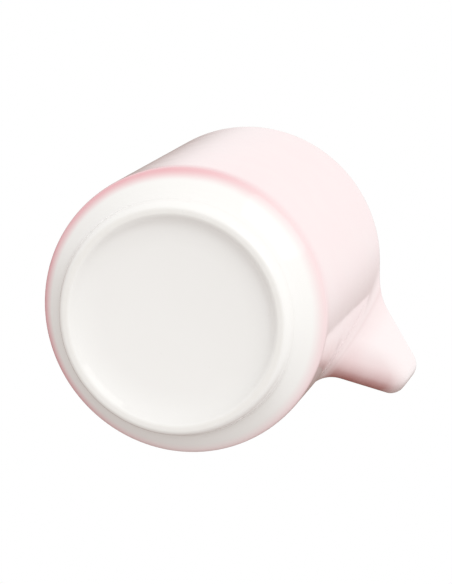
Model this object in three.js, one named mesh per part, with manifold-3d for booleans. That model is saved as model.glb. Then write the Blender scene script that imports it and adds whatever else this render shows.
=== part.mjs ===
// Cream jug in porcelain: a straight cylindrical body without a handle, a white bevelled shoulder
// down to a rounded foot ring, a recessed base, and a V-shaped beak that runs out of the upper wall.
// Millimetres, +Z up. The origin is the middle of the bounding box on the standing plane, so the
// body's own axis stands a little behind it and the beak points along +X.
import * as THREE from "three";
import { ConvexGeometry } from "three/addons/geometries/ConvexGeometry.js";
import { mergeVertices } from "three/addons/utils/BufferGeometryUtils.js";
import Module from "manifold-3d";

// Body
const BODY_RADIUS = 35;
const HEIGHT = 84.4;
const WALL = 3;
const RIM_HEIGHT = 2.6;
const GAP = 0.3; // clearance between neighbouring pieces
const LATHE_SEGMENTS = 72;

// Shoulder: a straight bevel from the foot ring outwards, then a soft corner into the wall
const SHOULDER_HEIGHT = 14;
const BEVEL_FOOT = new THREE.Vector2(29.2, 5.9); // where the bevel leaves the foot ring
const BEVEL_TURN = new THREE.Vector2(32.9, 9.1); // where the soft corner begins
const BEVEL_CORNER = new THREE.Vector2(BODY_RADIUS, 10.7); // control point of the soft corner
const CURVE_STEPS = 6;

// Foot ring and recessed base
const FOOT_CREST_RADIUS = 26.3;
const FOOT_FACE_WIDTH = 1.6; // flat standing face
const FOOT_EDGE = 0.4; // softened edge beside the standing face
const FOOT_SIDE = new THREE.Vector2(28.6, 0.6); // control point of the foot's rounded outer side
const RECESS_RADIUS = 24.3;
const RECESS_DEPTH = 2.8;
const FOOT_RING_TOP = 4.6; // the ring's seat below the shoulder
const SEAT_RADIUS = 27.5; // where the seat begins to slope up to the outer side

// Inside of the body
const FLOOR_HEIGHT = 6.4;
const FLOOR_RADIUS = 21; // flat part of the inside floor
const COVE_HEIGHT = 15.5; // where the inside wall turns straight

// Beak, measured from the body's axis: two flat flanks that meet in a keel, and an upright front
const BEAK_REACH = 54;
const BEAK_HALF_ANGLE = THREE.MathUtils.degToRad(22.5);
const BEAK_CONVERGENCE = 67.2; // where the two flanks would meet at the rim
const BEAK_START = 41.8; // height at which the keel leaves the wall
const BEAK_BACK = 18; // how far inside the body the cutting shapes begin
const BEAK_CORNER = 3.6; // plan radius of the tip's corners
const CHANNEL_CORNER = 1; // the same, inside the channel
const BEAK_WALL = 2.8;
const CORNER_STEPS = 6;

// Cutting shapes
const OVERSHOOT = 1; // how far they run past the faces that they cut
const CLEAR_RADIUS = 100; // wider than the whole jug

const INNER_RADIUS = BODY_RADIUS - WALL;
const RIM_START = HEIGHT - RIM_HEIGHT;
const BODY_AXIS_X = (BODY_RADIUS - BEAK_REACH) / 2;
const KEEL_RUN = (BEAK_CONVERGENCE - BODY_RADIUS) / (HEIGHT - BEAK_START); // outwards per mm of height

const wasm = await Module();
wasm.setup();

function solidFrom(geometry) {
  const bare = geometry.clone();
  bare.deleteAttribute("normal");
  bare.deleteAttribute("uv");
  const merged = mergeVertices(bare);
  const mesh = new wasm.Mesh({
    numProp: 3,
    vertProperties: merged.attributes.position.array,
    triVerts: new Uint32Array(merged.index.array),
  });
  return new wasm.Manifold(mesh);
}

function geometryFrom(solid) {
  const mesh = solid.getMesh();
  const geometry = new THREE.BufferGeometry();
  geometry.setAttribute("position", new THREE.BufferAttribute(mesh.vertProperties, mesh.numProp));
  geometry.setIndex(new THREE.BufferAttribute(mesh.triVerts, 1));
  geometry.computeVertexNormals();
  return geometry;
}

// Turns a closed section, listed counter-clockwise as (radius, height), about the Z axis.
function turned(section) {
  const geometry = new THREE.LatheGeometry([...section, section[0]], LATHE_SEGMENTS);
  return geometry.rotateX(Math.PI / 2);
}

function at(radius, height) {
  return new THREE.Vector2(radius, height);
}

function curve(from, control, to) {
  return new THREE.QuadraticBezierCurve(from, control, to).getPoints(CURVE_STEPS);
}

// Inside cove: a quarter ellipse from the floor up to the straight inside wall.
function coveRadius(height) {
  const drop = (COVE_HEIGHT - height) / (COVE_HEIGHT - FLOOR_HEIGHT);
  return FLOOR_RADIUS + (INNER_RADIUS - FLOOR_RADIUS) * Math.sqrt(1 - drop * drop);
}

function cove(from, to) {
  return Array.from({ length: CURVE_STEPS + 1 }, (_, i) => {
    const height = THREE.MathUtils.lerp(from, to, (i / CURVE_STEPS) ** 2);
    return at(coveRadius(height), height);
  });
}

function footRingSection() {
  const half = FOOT_FACE_WIDTH / 2;
  return [
    at(FOOT_CREST_RADIUS - half, 0),
    ...curve(at(FOOT_CREST_RADIUS + half, 0), FOOT_SIDE, BEVEL_FOOT),
    at(SEAT_RADIUS, FOOT_RING_TOP),
    at(RECESS_RADIUS, FOOT_RING_TOP),
    at(RECESS_RADIUS, RECESS_DEPTH),
    at(FOOT_CREST_RADIUS - half - FOOT_EDGE, FOOT_EDGE),
  ];
}

function baseSection() {
  const edge = RECESS_RADIUS - GAP;
  return [at(0, RECESS_DEPTH), at(edge, RECESS_DEPTH), at(edge, FLOOR_HEIGHT), at(0, FLOOR_HEIGHT)];
}

function shoulderSection() {
  const inside = cove(FLOOR_HEIGHT, SHOULDER_HEIGHT).reverse().filter((p) => p.x > RECESS_RADIUS);
  return [
    at(RECESS_RADIUS, FOOT_RING_TOP + GAP),
    at(SEAT_RADIUS, FOOT_RING_TOP + GAP),
    at(BEVEL_FOOT.x, BEVEL_FOOT.y + GAP),
    ...curve(BEVEL_TURN, BEVEL_CORNER, at(BODY_RADIUS, SHOULDER_HEIGHT)),
    ...inside,
    at(RECESS_RADIUS, coveHeight(RECESS_RADIUS)),
  ];
}

function coveHeight(radius) {
  const out = (radius - FLOOR_RADIUS) / (INNER_RADIUS - FLOOR_RADIUS);
  return COVE_HEIGHT - (COVE_HEIGHT - FLOOR_HEIGHT) * Math.sqrt(1 - out * out);
}

function wallSection() {
  const bottom = SHOULDER_HEIGHT + GAP;
  const top = RIM_START - GAP;
  return [
    at(BODY_RADIUS, bottom),
    at(BODY_RADIUS, top),
    at(INNER_RADIUS, top),
    ...cove(bottom, COVE_HEIGHT).reverse(),
  ];
}

function cylinder(radius, from, to) {
  return solidFrom(turned([at(0, from), at(radius, from), at(radius, to), at(0, to)]));
}

// One side of the beak's plan, from the middle of its front back to BEAK_BACK. keel is where the
// flanks would meet in this plan.
function beakSide(keel, reach, corner) {
  const centreX = reach - corner;
  const centreY = (keel - centreX) * Math.tan(BEAK_HALF_ANGLE) - corner / Math.cos(BEAK_HALF_ANGLE);
  const turn = Math.PI / 2 - BEAK_HALF_ANGLE;
  const side = new THREE.EllipseCurve(centreX, centreY, corner, corner, 0, turn).getPoints(CORNER_STEPS);
  side.push(at(BEAK_BACK, (keel - BEAK_BACK) * Math.tan(BEAK_HALF_ANGLE)));
  return side;
}

// A beak as the hull of its keel and its plan at the given top. inset moves every face inwards, for
// the channel, whose top runs past the rim, so that the cut leaves no skin.
function beak(inset, top) {
  const sine = Math.sin(BEAK_HALF_ANGLE);
  const keelStart = BODY_RADIUS - (inset * Math.hypot(1, sine * KEEL_RUN)) / sine;
  const reach = BEAK_REACH - inset;
  const keelEnd = BEAK_START + (reach - keelStart) / KEEL_RUN;
  const keelAtTop = keelStart + (top - BEAK_START) * KEEL_RUN;
  const side = beakSide(keelAtTop, reach, Math.max(BEAK_CORNER - inset, CHANNEL_CORNER));
  return solidFrom(new ConvexGeometry([
    new THREE.Vector3(keelStart, 0, BEAK_START),
    new THREE.Vector3(reach, 0, keelEnd),
    ...side.map((p) => new THREE.Vector3(p.x, p.y, top)),
    ...side.map((p) => new THREE.Vector3(p.x, -p.y, top)),
  ]));
}

const beakBody = beak(0, HEIGHT);
const channel = beak(BEAK_WALL, HEIGHT + OVERSHOOT);
const belowRim = cylinder(CLEAR_RADIUS, 0, RIM_START - GAP);
const rimSlab = cylinder(CLEAR_RADIUS, RIM_START, HEIGHT);
const bodyCore = cylinder(INNER_RADIUS, RIM_START - OVERSHOOT, HEIGHT + OVERSHOOT);

function makeWall() {
  return solidFrom(turned(wallSection())).subtract(channel);
}

function makeSpout() {
  const clearOfWall = cylinder(BODY_RADIUS + GAP, 0, HEIGHT);
  return beakBody.intersect(belowRim).subtract(channel).subtract(clearOfWall);
}

function makeRim() {
  const outside = cylinder(BODY_RADIUS, RIM_START, HEIGHT).add(beakBody.intersect(rimSlab));
  return outside.subtract(bodyCore).subtract(channel);
}

const pinkGlaze = { color: 0xf3dfdf, roughness: 0.16, metalness: 0 };
const whiteGlaze = { color: 0xf6f4f0, roughness: 0.18, metalness: 0 };
const barePorcelain = { color: 0xf1eee8, roughness: 0.55, metalness: 0 };

const pieces = {
  body_wall: [geometryFrom(makeWall()), pinkGlaze],
  spout: [geometryFrom(makeSpout()), pinkGlaze],
  rim: [geometryFrom(makeRim()), pinkGlaze],
  shoulder: [turned(shoulderSection()), whiteGlaze],
  foot_ring: [turned(footRingSection()), barePorcelain],
  base_floor: [turned(baseSection()), whiteGlaze],
};

const jug = new THREE.Group();
jug.position.x = BODY_AXIS_X;
for (const [name, [geometry, finish]] of Object.entries(pieces)) {
  const mesh = new THREE.Mesh(geometry, new THREE.MeshStandardMaterial(finish));
  mesh.name = name;
  jug.add(mesh);
}

const part = new THREE.Group();
part.add(jug);

export default part;
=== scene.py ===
"""Porcelain cream jug: fine surface, glaze, floor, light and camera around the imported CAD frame.

The jug is one skin made of rings that run from the middle of the underside, up the outside, over
the lip and down to the middle of the inside floor. The skin is cut into the same pieces as the
CAD nodes, and each piece is closed by faces inside the clay.
"""
import math

import bmesh
import bpy
import numpy as np
from mathutils import Matrix, Vector


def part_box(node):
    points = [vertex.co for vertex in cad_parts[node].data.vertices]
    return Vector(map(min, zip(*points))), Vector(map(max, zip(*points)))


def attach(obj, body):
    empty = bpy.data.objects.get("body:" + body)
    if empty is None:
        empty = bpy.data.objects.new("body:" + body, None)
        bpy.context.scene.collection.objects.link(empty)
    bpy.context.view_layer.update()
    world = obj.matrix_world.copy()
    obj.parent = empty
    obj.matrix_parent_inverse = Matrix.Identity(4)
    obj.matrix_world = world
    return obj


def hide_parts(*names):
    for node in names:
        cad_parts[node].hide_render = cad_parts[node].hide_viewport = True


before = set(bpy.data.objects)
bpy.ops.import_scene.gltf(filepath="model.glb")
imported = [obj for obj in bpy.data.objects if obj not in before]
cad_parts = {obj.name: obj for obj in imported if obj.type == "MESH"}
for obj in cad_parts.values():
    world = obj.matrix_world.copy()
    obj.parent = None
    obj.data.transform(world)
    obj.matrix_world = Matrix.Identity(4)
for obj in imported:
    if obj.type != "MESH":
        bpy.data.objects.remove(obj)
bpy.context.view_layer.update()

# ---------------------------------------------------------------- sizes, in metres
MM = 0.001

# From the frame
wall_low, wall_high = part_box("body_wall")
rim_low, rim_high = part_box("rim")
base_low, base_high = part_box("base_floor")

AXIS_X = (wall_low.x + wall_high.x) / 2
RADIUS = (wall_high.y - wall_low.y) / 2
HEIGHT = rim_high.z
REACH = rim_high.x - AXIS_X
SHOULDER_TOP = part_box("shoulder")[1].z
RECESS_DEPTH = base_low.z
FLOOR_HEIGHT = base_high.z
RIM_START = rim_low.z

# Body
WALL = 3.0 * MM
INNER = RADIUS - WALL
FLOOR_RADIUS = 21.0 * MM                 # flat part of the inside floor
COVE_TOP = 15.5 * MM                     # where the inside wall turns straight
LIP_RADIUS = WALL / 2

# Underside: points and curve controls are (radius, height)
DISH_RADIUS = 16.5 * MM                  # the recess is dished out to here
DISH_DEPTH = 0.35 * MM
RECESS_EDGE = (24.2 * MM, 1.25 * MM)     # the cove ends on the inner side of the foot ring
COVE_CONTROLS = ((20.2 * MM, RECESS_DEPTH), (22.9 * MM, 2.35 * MM))
CREST_RADIUS = 26.3 * MM                 # middle of the standing face
CREST_HALF = 0.3 * MM
CREST_IN = (CREST_RADIUS - CREST_HALF, 0)
CREST_OUT = (CREST_RADIUS + CREST_HALF, 0)
RING_IN_CONTROLS = ((24.85 * MM, 0.7 * MM), (25.2 * MM, 0))
RING_EDGE = (28.7 * MM, 4.1 * MM)        # the ring's outer side ends here
RING_OUT_CONTROLS = ((28.0 * MM, 0), (28.5 * MM, 2.2 * MM))
BEVEL_START = (30.6 * MM, 7.1 * MM)      # the bevel is straight from here
BEVEL_FOOT_CONTROLS = ((28.85 * MM, 5.4 * MM), (29.7 * MM, 6.2 * MM))
SHOULDER_TURN = (32.9 * MM, 9.1 * MM)    # and begins to bend into the wall here
BEVEL_CONTROLS = ((31.4 * MM, 7.8 * MM), (32.1 * MM, 8.4 * MM))
SHOULDER_CORNER = (RADIUS, 10.7 * MM)    # that bend's sharp corner, before it is rounded

# Beak
FLANK_ANGLE = math.radians(22.5)         # each flank's plan angle to the spout's direction
MEETING = 67.2 * MM                      # from the axis to where the flanks would meet at the rim
BEAK_START = 41.8 * MM                   # height where the flanks' meeting line leaves the wall
BEAK_WALL = 2.8 * MM
BEAK_BACK = 12.0 * MM                    # from the axis to the wedge's back end, inside the body
KEEL_RADIUS = 3.8 * MM
TIP_RADIUS = 2.6 * MM
TIP_SETBACK = 0.4 * MM                   # the glazed tip ends a little short of the CAD box
CHANNEL_ROUNDING = 2.0 * MM              # radius of the channel's own keel and corners
ROOT_FILLET = 4.5 * MM                   # reach of the soft crease between beak and wall

# Painted shade on the beak, under the keel and in its crease
CREASE_SHADE = 1.6 * MM                   # half-width of the painted shade in the crease
CREASE_SHADE_SHARE = 0.12                      # and its share of the full painted shade
KEEL_SHADE = 9.5 * MM                     # half-width of the painted shade under the keel, and its fade at the top
KEEL_SHADE_SIDE = 3.0 * MM                # how far it is shifted to one side, the +Y side away from the light
KEEL_SHADE_RISE = 2.0 * MM                # it is full this far off the wall
KEEL_SHADE_TOP = 78.0 * MM                # and ends at this height
KEEL_SHADE_FALLOFF = 1.25                 # more than 1 draws it in towards its middle

# Mesh density
SPOUT_COLUMNS = 141
WALL_COLUMNS = 196
DISH_ROWS = 10
COVE_ROWS = 14
RING_IN_ROWS = 12
RING_OUT_ROWS = 18
BEVEL_FOOT_ROWS = 20
BEVEL_ROWS = 6
SHOULDER_ROWS = 20
PLAIN_ROWS = 12                          # rows of the wall below the beak
BEAK_ROWS = 76                           # and beside it
LIP_SIDE_ROWS = 4
LIP_ROWS = 14
INSIDE_COVE_ROWS = 24
INSIDE_FLOOR_ROWS = 10
SPOUT_LOW = 39.5 * MM                    # lowest row of the spout piece
SPOUT_SPAN_LOW = math.radians(9)         # half-angle of the spout piece there
SPOUT_SPAN_HIGH = math.radians(33)       # and at the rim

# Search for the skin along a line out from the axis, by halving
SEARCH_FROM = 0.5 * RADIUS
SEARCH_TO = 1.3 * MEETING
SEARCH_STEPS = 40
SLOPE_STEP = 0.01 * MM                   # to either side, for the skin's slope


# ---------------------------------------------------------------- form of the jug
def smooth_min(a, b, reach):
    """The smaller of two distances, with the crease between them filled over the given reach."""
    blend = np.maximum(reach - np.abs(a - b), 0) / reach
    return np.minimum(a, b) - blend * blend * reach / 4


def rounded_corner(a, b, radius):
    """Distance to the body inside two faces, with the edge where they meet rounded."""
    beyond = np.hypot(np.maximum(a + radius, 0), np.maximum(b + radius, 0))
    return np.minimum(np.maximum(a, b), -radius) + beyond


def flank_normal():
    """Outward unit normal of the +Y flank: the plane through the keel line and the rim's edge line."""
    keel = np.array([MEETING - RADIUS, 0, HEIGHT - BEAK_START])
    edge = np.array([math.cos(FLANK_ANGLE), -math.sin(FLANK_ANGLE), 0])
    normal = np.cross(edge, keel)
    normal *= np.sign(normal[1])
    return normal / np.linalg.norm(normal)


FLANK = flank_normal()
FLANK_FORWARD = math.hypot(FLANK[0], FLANK[2])


def wedge_distance(x, y, z, radius):
    """Distance to the wedge between the two flanks, with a keel of the given radius."""
    ahead = ((x - RADIUS) * FLANK[0] + (z - BEAK_START) * FLANK[2]) / FLANK_FORWARD
    side = np.abs(y)
    flat = ahead * FLANK_FORWARD + side * FLANK[1]
    from_centre = ahead + radius / FLANK_FORWARD
    on_keel = from_centre * FLANK[1] > side * FLANK_FORWARD
    return np.where(on_keel, np.hypot(from_centre, side) - radius, flat)


def beak_distance(x, y, z, inset):
    """Signed distance to the beak's skin, negative inside it. An inset of 1 gives its channel."""
    rounding = inset * (BEAK_WALL + CHANNEL_ROUNDING)
    wedge = wedge_distance(x, y, z, max(KEEL_RADIUS, rounding))
    beak = rounded_corner(wedge, x - REACH + TIP_SETBACK, max(TIP_RADIUS, rounding))
    return np.maximum(beak, BEAK_BACK - x) + inset * BEAK_WALL


def skin_distance(x, y, z, inset):
    """Signed distance to the jug's upright skin: the outer one at inset 0, the inner one at 1."""
    body = np.hypot(x, y) - RADIUS + inset * WALL
    return smooth_min(body, beak_distance(x, y, z, inset), ROOT_FILLET)


def skin_radius(angle, z, inset):
    """Distance from the axis to the skin in the direction of angle at height z, by bisection."""
    low = np.full(np.broadcast(angle, z).shape, SEARCH_FROM)
    high = np.full_like(low, SEARCH_TO)
    for _ in range(SEARCH_STEPS):
        middle = (low + high) / 2
        outside = skin_distance(middle * np.cos(angle), middle * np.sin(angle), z, inset) > 0
        high = np.where(outside, middle, high)
        low = np.where(outside, low, middle)
    return (low + high) / 2


def skin_normals(points, inset):
    """Unit normals of the skin, out of the clay, from the slope of its distance."""
    local = points - (AXIS_X, 0, 0)
    slope = np.zeros_like(points)
    for axis, step in enumerate(np.eye(3) * SLOPE_STEP):
        ahead, behind = (local + step).T, (local - step).T
        slope[:, axis] = skin_distance(*ahead, inset) - skin_distance(*behind, inset)
    outward = -1 if inset else 1
    return outward * slope / np.linalg.norm(slope, axis=1, keepdims=True)


def painted_beak_shade(points):
    """How much painted shade the beak takes: up to 1 under the keel, a little in its crease, 0
    elsewhere.
    """
    x, y, z = (points - (AXIS_X, 0, 0)).T
    body = np.hypot(x, y) - RADIUS
    # painted shade: a little in the crease, and most under the keel on its side away from the light
    crease = np.clip(1 - np.abs(body - beak_distance(x, y, z, 0)) / CREASE_SHADE, 0, 1)
    across = np.clip(1 - np.abs(y - KEEL_SHADE_SIDE) / KEEL_SHADE, 0, 1)
    below = np.clip((KEEL_SHADE_TOP - z) / KEEL_SHADE, 0, 1)
    keel = across * below * np.clip(body / KEEL_SHADE_RISE, 0, 1)
    return np.clip(crease * crease * CREASE_SHADE_SHARE + keel ** KEEL_SHADE_FALLOFF, 0, 1)


def bezier(start, controls, end, steps):
    """Points along a cubic Bezier curve in (radius, height), without the last one."""
    a, b, c, d = (np.array(point) for point in (start, *controls, end))
    t = np.arange(steps)[:, None] / steps
    return (1 - t) ** 3 * a + 3 * (1 - t) ** 2 * t * b + 3 * (1 - t) * t * t * c + t ** 3 * d


# ---------------------------------------------------------------- columns
COLUMNS = SPOUT_COLUMNS + WALL_COLUMNS


def column_angles(z):
    """Angles of all columns at height z: even below the spout, and close together across it."""
    heights = (SHOULDER_TOP, SPOUT_LOW, HEIGHT)
    spans = (math.pi * (SPOUT_COLUMNS - 1) / COLUMNS, SPOUT_SPAN_LOW, SPOUT_SPAN_HIGH)
    span = np.interp(z, heights, spans)
    across = np.linspace(-1, 1, SPOUT_COLUMNS) * span
    around = np.linspace(span, 2 * math.pi - span, WALL_COLUMNS + 2)[1:-1]
    return np.concatenate([across, around])


# ---------------------------------------------------------------- rings of the skin
class Rings:
    """The skin's rings, in order: their points, and their normals where they are known exactly."""

    def __init__(self):
        self.points = []
        self.normals = {}
        self.marks = {}

    def mark(self, name):
        self.marks[name] = len(self.points)

    def add(self, angle, radius, height):
        x = AXIS_X + radius * np.cos(angle)
        y = radius * np.sin(angle)
        self.points.append(np.stack([x, y, np.full_like(x, height)], axis=1))

    def add_round(self, radius, height):
        angle = column_angles(height)
        self.add(angle, np.full_like(angle, radius), height)

    def add_profile(self, points):
        for radius, height in points:
            self.add_round(radius, height)

    def add_skin(self, height, inset):
        angle = column_angles(height)
        self.add(angle, skin_radius(angle, height, inset), height)
        self.normals[len(self.points) - 1] = skin_normals(self.points[-1], inset)


def underside(rings):
    """Dished recess, soft cove, rounded foot ring, and the straight bevel with its soft corner."""
    for radius in np.linspace(0, DISH_RADIUS, DISH_ROWS, endpoint=False):
        rings.add_round(radius, RECESS_DEPTH + DISH_DEPTH * (1 - (radius / DISH_RADIUS) ** 2))
    rings.add_profile(bezier((DISH_RADIUS, RECESS_DEPTH), COVE_CONTROLS, RECESS_EDGE, COVE_ROWS))
    rings.mark("recess_edge")
    rings.add_profile(bezier(RECESS_EDGE, RING_IN_CONTROLS, CREST_IN, RING_IN_ROWS))
    rings.add_profile([CREST_IN, (CREST_RADIUS, 0)])
    rings.add_profile(bezier(CREST_OUT, RING_OUT_CONTROLS, RING_EDGE, RING_OUT_ROWS))
    rings.mark("bevel_start")
    rings.add_profile(bezier(RING_EDGE, BEVEL_FOOT_CONTROLS, BEVEL_START, BEVEL_FOOT_ROWS))
    rings.add_profile(bezier(BEVEL_START, BEVEL_CONTROLS, SHOULDER_TURN, BEVEL_ROWS))
    corner = (SHOULDER_CORNER, SHOULDER_CORNER)
    rings.add_profile(bezier(SHOULDER_TURN, corner, (RADIUS, SHOULDER_TOP), SHOULDER_ROWS))


def wall_heights():
    """Heights of the wall's rows, close together beside the beak."""
    plain = np.linspace(SHOULDER_TOP, SPOUT_LOW, PLAIN_ROWS, endpoint=False)
    return np.concatenate([plain, np.linspace(SPOUT_LOW, RIM_START, BEAK_ROWS)])


def lip(rings):
    """Rounded lip: the outer and inner skins run on and close over a half turn."""
    start = HEIGHT - LIP_RADIUS
    straight = np.linspace(RIM_START, start, LIP_SIDE_ROWS, endpoint=False)
    for height in straight:
        rings.add_skin(height, 0)
    for turn in np.linspace(0, math.pi, LIP_ROWS + 1):
        height = start + LIP_RADIUS * math.sin(turn)
        angle = column_angles(height)
        outer = skin_radius(angle, height, 0)
        inner = skin_radius(angle, height, 1)
        rings.add(angle, (outer + inner) / 2 + (outer - inner) / 2 * math.cos(turn), height)
    for height in straight[:0:-1]:
        rings.add_skin(height, 1)


def cove_point(turn):
    """Radius and height on the inside cove: turn 0 is at the straight wall, pi / 2 on the floor."""
    radius = FLOOR_RADIUS + (INNER - FLOOR_RADIUS) * math.cos(turn)
    return radius, COVE_TOP - (COVE_TOP - FLOOR_HEIGHT) * math.sin(turn)


def inside(rings):
    """The cove from the inside wall to the floor, and the floor."""
    first = math.asin((COVE_TOP - SHOULDER_TOP) / (COVE_TOP - FLOOR_HEIGHT))
    turns = np.linspace(first, math.pi / 2, INSIDE_COVE_ROWS, endpoint=False)
    rings.add_profile(cove_point(turn) for turn in turns)
    rings.mark("inside_floor")
    for radius in np.linspace(FLOOR_RADIUS, 0, INSIDE_FLOOR_ROWS):
        rings.add_round(radius, FLOOR_HEIGHT)


def inside_wall(rings):
    """The inner skin at the outer rows' heights, drawn in towards the cove near the bottom."""
    for height in wall_heights()[:0:-1]:
        if height > COVE_TOP:
            rings.add_skin(height, 1)
        else:
            turn = math.asin((COVE_TOP - height) / (COVE_TOP - FLOOR_HEIGHT))
            rings.add_round(cove_point(turn)[0], height)


def make_rings():
    rings = Rings()
    underside(rings)
    rings.mark("wall_start")
    for height in wall_heights()[:-1]:
        rings.add_skin(height, 0)
    rings.mark("rim_start")
    lip(rings)
    rings.mark("rim_end")
    inside_wall(rings)
    rings.mark("wall_end")
    inside(rings)
    return rings


rings = make_rings()
GRID = np.array(rings.points)
ROWS = len(GRID)
MARK = rings.marks


def grid_normals(grid, exact):
    """Smooth outward normals of the whole skin, so that the cut between two pieces doesn't show."""
    following = np.roll(grid, -1, axis=1)
    quads = np.cross(following[:-1] - grid[1:], following[1:] - grid[:-1])
    normals = np.zeros_like(grid)
    for rows in (slice(0, -1), slice(1, None)):
        normals[rows] += quads
        normals[rows] += np.roll(quads, 1, axis=1)
    normals[0] = (0, 0, -1)
    normals[-1] = (0, 0, 1)
    normals /= np.linalg.norm(normals, axis=2, keepdims=True)
    for row, known in exact.items():
        normals[row] = known
    return normals


NORMALS = grid_normals(GRID, rings.normals)
PAINTED_BEAK_SHADE = painted_beak_shade(GRID.reshape(-1, 3))


# ---------------------------------------------------------------- pieces cut from the skin
def is_pole(row):
    return row in (0, ROWS - 1)


def vertex_id(row, column):
    return row * COLUMNS + (0 if is_pole(row) else column % COLUMNS)


def band(row_a, row_b, columns):
    """Faces between two rows of the skin over the given columns."""
    for column in columns:
        yield [vertex_id(row_a, column), vertex_id(row_a, column + 1),
               vertex_id(row_b, column + 1), vertex_id(row_b, column)]


def build_piece(name, skin_faces, hidden_faces):
    """One closed mesh. Skin faces take the whole skin's normals, faces inside the clay their own."""
    faces = []
    for face in [*skin_faces, *hidden_faces]:
        kept = [v for i, v in enumerate(face) if v != face[i - 1]]
        faces.append(kept)
    used = sorted({v for face in faces for v in face})
    index = {v: i for i, v in enumerate(used)}
    flat_points = GRID.reshape(-1, 3)
    mesh = bpy.data.meshes.new(name)
    mesh.from_pydata([tuple(flat_points[v]) for v in used], [],
                     [[index[v] for v in face] for face in faces])
    shape = bmesh.new()
    shape.from_mesh(mesh)
    bmesh.ops.recalc_face_normals(shape, faces=shape.faces[:])
    shape.to_mesh(mesh)
    shape.free()
    flat_normals = NORMALS.reshape(-1, 3)
    loop_normals = []
    for polygon in mesh.polygons:
        hidden = polygon.index >= len(skin_faces)
        for vertex in polygon.vertices:
            loop_normals.append(tuple(polygon.normal) if hidden else tuple(flat_normals[used[vertex]]))
    # per point, the beak's painted shade
    mesh.attributes.new("beak_shade", "FLOAT", "POINT").data.foreach_set("value", PAINTED_BEAK_SHADE[used])
    mesh.polygons.foreach_set("use_smooth", [True] * len(mesh.polygons))
    mesh.normals_split_custom_set(loop_normals)
    piece = bpy.data.objects.new(name, mesh)
    bpy.context.scene.collection.objects.link(piece)
    return piece


def skin_bands(first, last, columns):
    return [face for row in range(first, last) for face in band(row, row + 1, columns)]


ALL = range(COLUMNS)
SPOUT = range(SPOUT_COLUMNS - 1)
REST = range(SPOUT_COLUMNS - 1, COLUMNS)


def twin(row):
    """The inner skin's row at the same height as a row of the outer skin's wall."""
    return MARK["rim_end"] + MARK["rim_start"] - row


def side_faces(column, first, last):
    """Faces through the wall's thickness along one column, between two outer rows."""
    return [[vertex_id(row, column), vertex_id(row + 1, column),
             vertex_id(twin(row + 1), column), vertex_id(twin(row), column)]
            for row in range(first, last)]


SPOUT_ROW = MARK["wall_start"] + int(np.searchsorted(wall_heights(), SPOUT_LOW))


def make_base():
    edge, floor = MARK["recess_edge"], MARK["inside_floor"]
    skin = skin_bands(0, edge, ALL) + skin_bands(floor, ROWS - 1, ALL)
    return build_piece("base_floor_glazed", skin, list(band(edge, floor, ALL)))


def make_foot():
    edge, bevel = MARK["recess_edge"], MARK["bevel_start"]
    return build_piece("foot_ring_turned", skin_bands(edge, bevel, ALL), list(band(bevel, edge, ALL)))


def make_shoulder():
    edge, bevel = MARK["recess_edge"], MARK["bevel_start"]
    start, end, floor = MARK["wall_start"], MARK["wall_end"], MARK["inside_floor"]
    skin = skin_bands(bevel, start, ALL) + skin_bands(end, floor, ALL)
    hidden = [*band(start, end, ALL), *band(floor, edge, ALL), *band(edge, bevel, ALL)]
    return build_piece("shoulder_bevel", skin, hidden)


def make_wall():
    start, top = MARK["wall_start"], MARK["rim_start"]
    end, bottom = MARK["rim_end"], MARK["wall_end"]
    skin = skin_bands(start, SPOUT_ROW, ALL) + skin_bands(SPOUT_ROW, top, REST)
    skin += skin_bands(end, twin(SPOUT_ROW), REST) + skin_bands(twin(SPOUT_ROW), bottom, ALL)
    hidden = [*band(start, bottom, ALL), *band(top, end, REST),
              *band(SPOUT_ROW, twin(SPOUT_ROW), SPOUT)]
    for column in (0, SPOUT_COLUMNS - 1):
        hidden += side_faces(column, SPOUT_ROW, top)
    return build_piece("wall_body", skin, hidden)


def make_spout():
    top, end = MARK["rim_start"], MARK["rim_end"]
    skin = skin_bands(SPOUT_ROW, top, SPOUT) + skin_bands(end, twin(SPOUT_ROW), SPOUT)
    hidden = [*band(top, end, SPOUT), *band(SPOUT_ROW, twin(SPOUT_ROW), SPOUT)]
    for column in (0, SPOUT_COLUMNS - 1):
        hidden += side_faces(column, SPOUT_ROW, top)
    return build_piece("spout_beak", skin, hidden)


def make_rim():
    top, end = MARK["rim_start"], MARK["rim_end"]
    return build_piece("rim_lip", skin_bands(top, end, ALL), list(band(top, end, ALL)))


PIECES = (
    (make_wall, "body_wall", "pink_glaze"),
    (make_spout, "spout", "pink_glaze"),
    (make_rim, "rim", "pink_glaze"),
    (make_shoulder, "shoulder", "white_glaze"),
    (make_foot, "foot_ring", "foot_porcelain"),
    (make_base, "base_floor", "white_glaze"),
)


# ---------------------------------------------------------------- glaze
# Linear colours
WHITE_GLAZE = (0.90, 0.885, 0.86)
PINK_GLAZE = (0.89, 0.735, 0.735)
POOLED_AND_SHADED_PINK = (0.80, 0.43, 0.46)         # where the pink glaze gathers near its lower edge, deepened as painted shade on one side
SHADE_PINK = (0.40, 0.10, 0.09)           # painted shade under the beak and in its crease
PALE_PINK = (0.91, 0.84, 0.835)          # paler pink, on the thin glaze of the lip and out on the beak
BARE_CLAY = (0.87, 0.85, 0.815)          # the crest of the foot, wiped and polished
SPECK = (0.62, 0.55, 0.50)

# Heights in millimetres, as the materials measure
PINK_EDGE = 8.6                          # the pink glaze begins
PINK_FULL = 12.0                         # and covers the white
POOL_LOW, POOL_HIGH = 8.8, 11.0          # its band of gathered glaze and painted shade sets in
POOL_FADE, POOL_END = 12.0, 17.5         # and dies away
EDGE_WANDER = 0.35                       # how far the glaze line wanders up and down
CREST_BARE, CREST_GLAZED = 0.1, 0.35     # bare below the first, glazed above the second
CREST_WANDER = 0.3                       # that edge wanders this far down

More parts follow.
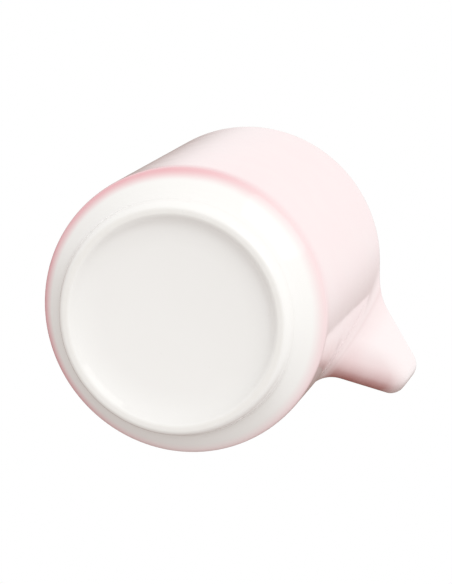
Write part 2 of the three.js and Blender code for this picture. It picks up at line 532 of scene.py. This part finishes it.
# Painted shade on the band's shaded side; where the pink is paler, and where it gives way to white
# inside
SHADED_BAND_SIDE = (-0.985, 0.174, 0)           # painted shade: the band is deepest on this side of the body, the side that lies in shade
SHADED_BAND_FAR, SHADED_BAND_NEAR = -0.5, 0.7          # the band grows between these cosines to that side
SHADED_BAND_LEAST = 0.2                         # and has this share on the far side
PALE_REACH = 7                           # millimetres out on the beak to its palest
PALE_SHARE = 0.8
INSIDE_FULL, INSIDE_END = -0.35, 0.15    # cosines to the outward direction: white inside, pink outside

# Sizes of the glaze's patterns, in millimetres
WANDER_SIZE = 18
CREST_WANDER_SIZE = 2
CLOUD_SIZE = 9
GLOSS_SIZE = 5
SWELL_SIZE = 7
GRAIN_SIZE = 0.7

# Strengths of the glaze's patterns
CLOUD_FROM, CLOUD_TO, CLOUD_SHARE = 0.35, 0.75, 0.10
GLOSS_FROM, GLOSS_TO = 0.3, 0.7
GLOSSY, LESS_GLOSSY = 0.06, 0.12         # roughness
CREST_ROUGHER = 0.3                      # added roughness of the polished crest
SPECK_DENSITY = 0.16                     # cells in a millimetre, each with one speck
SPECK_CORE, SPECK_EDGE = 0.014, 0.026    # radii in cells
SPECK_SHARE = 0.25
SWELL_RISE = 0.012 * MM
GLAZE_GRAIN = 0.0008 * MM
FOOT_GRAIN = 0.0015 * MM
FINE_DETAIL = 3.0                        # noise detail of clouds, gloss and crest
GLAZE_IOR = 1.5


def add_node(tree, kind, sockets, **settings):
    """A node whose sockets are given values, or are joined to other nodes' outputs."""
    node = tree.nodes.new("ShaderNode" + kind)
    for setting, value in settings.items():
        setattr(node, setting, value)
    for socket, value in sockets.items():
        if isinstance(value, bpy.types.NodeSocket):
            tree.links.new(value, node.inputs[socket])
        else:
            node.inputs[socket].default_value = value
    return node


def soft_step(tree, value, low, high, start=0.0, end=1.0):
    """Goes smoothly from start to end while the value goes from low to high."""
    sockets = {"Value": value, "From Min": low, "From Max": high, "To Min": start, "To Max": end}
    return add_node(tree, "MapRange", sockets, interpolation_type="SMOOTHSTEP").outputs[0]


def mix_colour(tree, factor, a, b):
    node = add_node(tree, "Mix", {"Factor": factor}, data_type="RGBA")
    for socket, value in (("A", a), ("B", b)):
        target = next(i for i in node.inputs if i.name == socket and i.type == "RGBA")
        if isinstance(value, bpy.types.NodeSocket):
            tree.links.new(value, target)
        else:
            target.default_value = (*value, 1)
    return next(o for o in node.outputs if o.type == "RGBA")


def noise(tree, place, size, detail=2.0):
    """Noise from 0 to 1 with features of about the given size in millimetres."""
    sockets = {"Vector": place, "Scale": 1 / size, "Detail": detail}
    return add_node(tree, "TexNoise", sockets).outputs[0]


def place_in_mm(tree):
    """Position on the jug in millimetres, measured from the body's axis, and the surface's normal."""
    coordinates = add_node(tree, "TexCoord", {})
    centred = add_node(tree, "VectorMath", {0: coordinates.outputs["Object"], 1: (-AXIS_X, 0, 0)})
    scaled = add_node(tree, "VectorMath", {0: centred.outputs[0], "Scale": 1 / MM}, operation="SCALE")
    return scaled.outputs[0], coordinates.outputs["Normal"]


def height_of(tree, place):
    return add_node(tree, "SeparateXYZ", {0: place}).outputs["Z"]


def multiply(tree, a, b):
    return add_node(tree, "Math", {0: a, 1: b}, operation="MULTIPLY").outputs[0]


def radial_parts(tree, place):
    """Direction away from the body's axis, and distance from it."""
    level = add_node(tree, "VectorMath", {0: place, 1: (1, 1, 0)}, operation="MULTIPLY").outputs[0]
    radial = add_node(tree, "VectorMath", {0: level}, operation="NORMALIZE").outputs[0]
    distance = add_node(tree, "VectorMath", {0: level}, operation="LENGTH").outputs["Value"]
    return radial, distance


def along(tree, a, b):
    """Cosine between two directions of unit length."""
    return add_node(tree, "VectorMath", {0: a, 1: b}, operation="DOT_PRODUCT").outputs["Value"]


def pink_outside(tree, place, radial, distance):
    """White below the glaze line, a pink band above it with painted shade on one side, and the beak
    paler, with painted shade under its keel and in its crease.
    """
    wander = add_node(tree, "Math", {
        0: noise(tree, place, WANDER_SIZE), 1: 2 * EDGE_WANDER, 2: height_of(tree, place)},
        operation="MULTIPLY_ADD")
    height = wander.outputs[0]
    coat = mix_colour(tree, soft_step(tree, height, PINK_EDGE, PINK_FULL), WHITE_GLAZE, PINK_GLAZE)
    band = multiply(tree, soft_step(tree, height, POOL_LOW, POOL_HIGH),
                    soft_step(tree, height, POOL_FADE, POOL_END, 1, 0))
    # painted shade: the band is deepest on the side of the body that lies in shade
    shaded_side_share = soft_step(tree, along(tree, radial, SHADED_BAND_SIDE), SHADED_BAND_FAR, SHADED_BAND_NEAR, SHADED_BAND_LEAST, 1)
    banded = mix_colour(tree, multiply(tree, band, shaded_side_share), coat, POOLED_AND_SHADED_PINK)
    on_beak = soft_step(tree, distance, RADIUS / MM, RADIUS / MM + PALE_REACH, 0, PALE_SHARE)
    paled = mix_colour(tree, on_beak, banded, PALE_PINK)
    # painted shade under the keel and in the beak's crease
    beak_shade = add_node(tree, "Attribute", {}, attribute_name="beak_shade").outputs["Fac"]
    return mix_colour(tree, beak_shade, paled, SHADE_PINK)


def weathered(tree, place, colour):
    """Faint cloudiness all over, and a few tiny specks fired into the glaze."""
    clouds = noise(tree, place, CLOUD_SIZE, FINE_DETAIL)
    cloudy = soft_step(tree, clouds, CLOUD_FROM, CLOUD_TO, 0.0, CLOUD_SHARE)
    clouded = mix_colour(tree, cloudy, colour, BARE_CLAY)
    cells = add_node(tree, "TexVoronoi", {"Vector": place, "Scale": SPECK_DENSITY})
    speck = soft_step(tree, cells.outputs["Distance"], SPECK_CORE, SPECK_EDGE, SPECK_SHARE, 0.0)
    return mix_colour(tree, speck, clouded, SPECK)


def surface_relief(tree, place, grain):
    """The slow swell of a dipped glaze, and fine texture over it, grain metres high."""
    swell = add_node(tree, "Bump", {
        "Strength": 1.0, "Distance": SWELL_RISE, "Height": noise(tree, place, SWELL_SIZE, 1.0)})
    fine = add_node(tree, "Bump", {
        "Strength": 1.0, "Distance": grain, "Height": noise(tree, place, GRAIN_SIZE),
        "Normal": swell.outputs[0]})
    return fine.outputs[0]


def new_material(name):
    material = bpy.data.materials.new(name)
    material.use_nodes = True
    shader = material.node_tree.nodes["Principled BSDF"]
    shader.inputs["IOR"].default_value = GLAZE_IOR
    return material, material.node_tree, shader


def finish_glaze(tree, shader, place, colour, roughness, grain):
    tree.links.new(weathered(tree, place, colour), shader.inputs["Base Color"])
    tree.links.new(roughness, shader.inputs["Roughness"])
    tree.links.new(surface_relief(tree, place, grain), shader.inputs["Normal"])


def glaze_gloss(tree, place):
    """Glossy, with broad softer patches where the glaze is thinner."""
    patches = noise(tree, place, GLOSS_SIZE, FINE_DETAIL)
    return soft_step(tree, patches, GLOSS_FROM, GLOSS_TO, GLOSSY, LESS_GLOSSY)


def make_glaze(name):
    """The body's glaze: pink outside over white, white inside, and thin on the lip."""
    material, tree, shader = new_material(name)
    place, normal = place_in_mm(tree)
    lip_start, lip_top = (HEIGHT - LIP_RADIUS) / MM, HEIGHT / MM
    radial, distance = radial_parts(tree, place)
    on_lip = soft_step(tree, height_of(tree, place), lip_start, lip_top)
    outside = mix_colour(tree, on_lip, pink_outside(tree, place, radial, distance), PALE_PINK)
    inside = soft_step(tree, along(tree, radial, normal), INSIDE_FULL, INSIDE_END, 1, 0)
    colour = mix_colour(tree, inside, outside, WHITE_GLAZE)
    finish_glaze(tree, shader, place, colour, glaze_gloss(tree, place), GLAZE_GRAIN)
    return material


def make_foot_porcelain(name):
    """White glaze on the ring's sides, and bare clay with a polished, satin crest."""
    material, tree, shader = new_material(name)
    place, _ = place_in_mm(tree)
    edge = add_node(tree, "Math", {
        0: noise(tree, place, CREST_WANDER_SIZE, FINE_DETAIL), 1: CREST_WANDER,
        2: height_of(tree, place)}, operation="MULTIPLY_ADD")
    bare = soft_step(tree, edge.outputs[0], CREST_BARE, CREST_GLAZED, 1, 0)
    colour = mix_colour(tree, bare, WHITE_GLAZE, BARE_CLAY)
    rough = add_node(tree, "Math", {
        0: bare, 1: CREST_ROUGHER, 2: glaze_gloss(tree, place)}, operation="MULTIPLY_ADD")
    finish_glaze(tree, shader, place, colour, rough.outputs[0], FOOT_GRAIN)
    return material


def make_pieces():
    """Builds each piece with its slot's material, in place of its CAD node."""
    materials = {
        "pink_glaze": make_glaze("pink_glaze_fired"),
        "white_glaze": make_glaze("white_glaze_fired"),
        "foot_porcelain": make_foot_porcelain("foot_porcelain_polished"),
    }
    for make, node, slot in PIECES:
        piece = make()
        piece.data.materials.append(materials[slot])
        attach(piece, "root")
        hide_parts(node)


# ---------------------------------------------------------------- camera
LENS = 146.3                             # millimetres, as is the sensor
SENSOR = 36
CLIP_NEAR, CLIP_FAR = 0.01, 20
CAMERA_RIGHT = (0.77941, -0.58012, 0.23663)
CAMERA_UP = (-0.62331, -0.75626, 0.19899)
CAMERA_PLACE = (1.1768, -5.1901, -15.0484)   # in body radii, from the foot of the body's axis


def aim_camera():
    """The photo's viewing angle: almost straight at the underside, with the camera rolled."""
    data = bpy.data.cameras.new("camera")
    data.lens = LENS
    data.sensor_width = SENSOR
    data.clip_start = CLIP_NEAR
    data.clip_end = CLIP_FAR
    camera = bpy.data.objects.new("camera", data)
    right = Vector(CAMERA_RIGHT)
    up = Vector(CAMERA_UP)
    turn = Matrix((right, up, right.cross(up))).transposed()
    place = Vector(CAMERA_PLACE) * RADIUS + Vector((AXIS_X, 0, 0))
    camera.matrix_world = Matrix.Translation(place) @ turn.to_4x4()
    bpy.context.scene.collection.objects.link(camera)
    bpy.context.scene.camera = camera


# ---------------------------------------------------------------- light and floor
STUDIO_BRIGHT = 1.0
DARK_SIDE = (0.12, 0.93, 0.33)           # the studio is dark in this direction
DARK_FROM, DARK_FULL = 0.24, 0.64        # cosines to that direction
DARK_COLOUR = (0.25, 0.165, 0.135)       # warm light that comes back from the dark side
KEY_OFFSET = (0.13, -0.93, -0.35)        # from the middle of the jug
KEY_SIZE = 0.7
KEY_POWER = 1.7                          # watts
FLOOR_WIDTH = 3.0
FLOOR_DROP = 0.05 * MM                   # keeps it just clear of the flat crest
FLOOR_COLOUR = (0.95, 0.95, 0.94)
FLOOR_ROUGHNESS = 0.9
FLOOR_GLOW = 0.2                         # keeps the floor pale where the studio is dark


def key_light():
    """One soft square light from below the front, aimed at the middle of the jug."""
    centre = Vector((AXIS_X, 0, HEIGHT / 2))
    data = bpy.data.lights.new("key", "AREA")
    data.shape = "RECTANGLE"
    data.size = KEY_SIZE
    data.size_y = KEY_SIZE
    data.energy = KEY_POWER
    light = bpy.data.objects.new("key", data)
    light.location = centre + Vector(KEY_OFFSET)
    light.rotation_mode = "QUATERNION"
    light.rotation_quaternion = (centre - light.location).to_track_quat("-Z", "Y")
    light.visible_camera = False
    bpy.context.scene.collection.objects.link(light)


def make_world():
    """A white backdrop for the camera. For light, a bright studio that falls dark on one side."""
    world = bpy.data.worlds.new("studio")
    world.use_nodes = True
    tree = world.node_tree
    direction = add_node(tree, "TexCoord", {}).outputs["Generated"]
    towards_dark = along(tree, direction, Vector(DARK_SIDE).normalized())
    darkness = soft_step(tree, towards_dark, DARK_FROM, DARK_FULL)
    colour = mix_colour(tree, darkness, [STUDIO_BRIGHT] * 3, DARK_COLOUR)
    studio = add_node(tree, "Background", {"Color": colour})
    backdrop = add_node(tree, "Background", {"Color": (1, 1, 1, 1)})
    path = add_node(tree, "LightPath", {})
    shown = add_node(tree, "MixShader", {
        0: path.outputs["Is Camera Ray"], 1: studio.outputs[0], 2: backdrop.outputs[0]})
    tree.links.new(shown.outputs[0], tree.nodes["World Output"].inputs["Surface"])
    bpy.context.scene.world = world
    bpy.context.scene.view_settings.view_transform = "Standard"


def make_floor():
    """A pale floor that is seen from above only, and that doesn't keep light from the underside."""
    half = FLOOR_WIDTH / 2
    plan = ((-half, -half), (half, -half), (half, half), (-half, half))
    corners = [(x, y, -FLOOR_DROP) for x, y in plan]
    mesh = bpy.data.meshes.new("floor")
    mesh.from_pydata(corners, [], [(0, 1, 2, 3)])
    material = bpy.data.materials.new("floor_paper")
    material.use_nodes = True
    tree = material.node_tree
    shader = tree.nodes["Principled BSDF"]
    shader.inputs["Base Color"].default_value = (*FLOOR_COLOUR, 1)
    shader.inputs["Roughness"].default_value = FLOOR_ROUGHNESS
    shader.inputs["Emission Color"].default_value = (1, 1, 1, 1)
    shader.inputs["Emission Strength"].default_value = FLOOR_GLOW
    clear = add_node(tree, "BsdfTransparent", {})
    side = add_node(tree, "NewGeometry", {})
    shown = add_node(tree, "MixShader", {
        0: side.outputs["Backfacing"], 1: shader.outputs[0], 2: clear.outputs[0]})
    tree.links.new(shown.outputs[0], tree.nodes["Material Output"].inputs["Surface"])
    floor = bpy.data.objects.new("floor", mesh)
    mesh.materials.append(material)
    floor.visible_diffuse = False
    floor.visible_glossy = False
    floor.visible_transmission = False
    floor.visible_shadow = False
    bpy.context.scene.collection.objects.link(floor)


make_pieces()
aim_camera()
make_world()
make_floor()
key_light()
